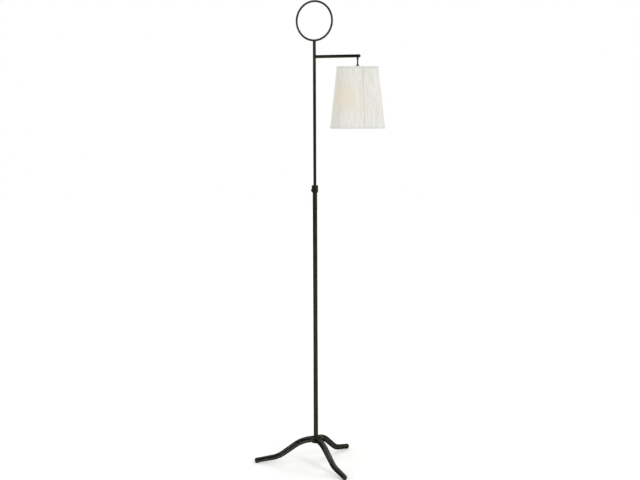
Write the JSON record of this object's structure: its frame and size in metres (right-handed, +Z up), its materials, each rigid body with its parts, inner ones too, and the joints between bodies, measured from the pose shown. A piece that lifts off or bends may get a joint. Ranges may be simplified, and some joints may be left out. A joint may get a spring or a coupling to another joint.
{
  "type": "floor lamp",
  "caption": "Slim adjustable floor lamp: three S-curved forged legs, telescoping stem with thumb screw, carrying ring, short arm and a pleated tapered shade hung on a swivel.",
  "frame": {"origin": "on the floor, on the axis of the stem", "axes": "+Z up along the stem, +X towards the shade, so that the arm and the carrying ring lie in the XZ plane"},
  "size_m": [0.4537, 0.3547, 1.6057],
  "materials": {
    "aged_iron": "dark bronze patina over forged steel, satin",
    "black_plastic": "black moulded plastic",
    "brass": "plain brass, satin",
    "card": "pressed insulating card",
    "clear_glass": "clear",
    "filament": "light filament",
    "foot_rubber": "black rubber",
    "lining_fabric": "smooth white lining",
    "nylon": "natural nylon",
    "pleated_fabric": "off-white pleated cotton blend",
    "trim_fabric": "woven tape",
    "wire_white": "white coated frame wire",
    "zinc_steel": "zinc plated, satin"
  },
  "bodies": {
    "root": {"left_leg": "aged_iron", "front_leg": "aged_iron", "rear_leg": "aged_iron", "left_foot_pad": "foot_rubber", "front_foot_pad": "foot_rubber", "rear_foot_pad": "foot_rubber", "base_hub": "aged_iron", "hub_nipple": "zinc_steel", "hub_washer": "zinc_steel", "hub_nut": "zinc_steel", "cord_bush": "black_plastic", "tube_plug": "zinc_steel", "lower_tube": "aged_iron", "collar": "aged_iron", "collar_bush": "nylon", "collar_set_screw": "aged_iron"},
    "guide": {"guide_bush": "nylon"},
    "mast": {"stop_ring": "zinc_steel", "tail_ring": "zinc_steel", "upper_tube": "aged_iron", "mast_plug": "aged_iron", "finial_ring": "aged_iron", "arm": "aged_iron", "arm_plug": "aged_iron"},
    "thumb_pad": {"screw_pad": "nylon"},
    "thumb_screw": {"thumb_screw": "aged_iron"},
    "swivel": {"swivel_clevis": "aged_iron", "swivel_clip": "zinc_steel", "knuckle_pin": "zinc_steel"},
    "shade": {"hanger_stem": "aged_iron", "stem_cone": "aged_iron", "shade_cap": "aged_iron", "stem_coupler": "brass", "holder_cap": "brass", "holder_shell": "brass", "holder_liner": "card", "holder_core": "black_plastic", "screw_shell": "brass", "centre_contact": "brass", "bulb_glass": "clear_glass", "bulb_cap": "brass", "bulb_insulator": "black_plastic", "bulb_contact": "brass", "bulb_post": "clear_glass", "bulb_filaments": "filament", "shade_spider": "wire_white", "top_wire_ring": "wire_white", "bottom_wire_ring": "wire_white", "shade_ribs": "wire_white", "shade_cover": "pleated_fabric", "shade_lining": "lining_fabric", "top_trim": "trim_fabric", "bottom_trim": "trim_fabric"},
    "switch": {"switch_spindle": "brass", "switch_knob": "black_plastic"}
  },
  "joints": [
    {"name": "height_slide", "type": "slide", "parent": "root", "child": "guide", "axis": [0, 0, 1], "range_m": [-0.3, 0.04]},
    {"name": "mast_turn", "type": "hinge", "parent": "guide", "child": "mast", "pos_m": [0, 0, 0.87737], "axis": [0, 0, 1], "range_deg": [-180, 180]},
    {"name": "thumb_pad_slide", "type": "slide", "parent": "root", "child": "thumb_pad", "axis": [-0.7826, 0.6225, 0], "range_m": [0, 0.0016]},
    {"name": "thumb_screw_turn", "type": "hinge", "parent": "thumb_pad", "child": "thumb_screw", "pos_m": [-0.00939, 0.00747, 0.96337], "axis": [-0.7826, 0.6225, 0], "range_deg": [0, 720]},
    {"name": "shade_swivel", "type": "hinge", "parent": "mast", "child": "swivel", "pos_m": [0.1576, 0, 1.41187], "axis": [0, 0, 1], "range_deg": [-160, 160]},
    {"name": "shade_tilt", "type": "hinge", "parent": "swivel", "child": "shade", "pos_m": [0.1576, 0, 1.40792], "axis": [0, 1, 0], "range_deg": [-12, 12]},
    {"name": "switch_turn", "type": "hinge", "parent": "shade", "child": "switch", "pos_m": [0.1576, 0.02, 1.35292], "axis": [0, 1, 0], "continuous": true}
  ],
  "couplings": [
    {"joint": "thumb_pad_slide", "follows": "thumb_screw_turn", "m_per_rad": 0.0001273}
  ]
}
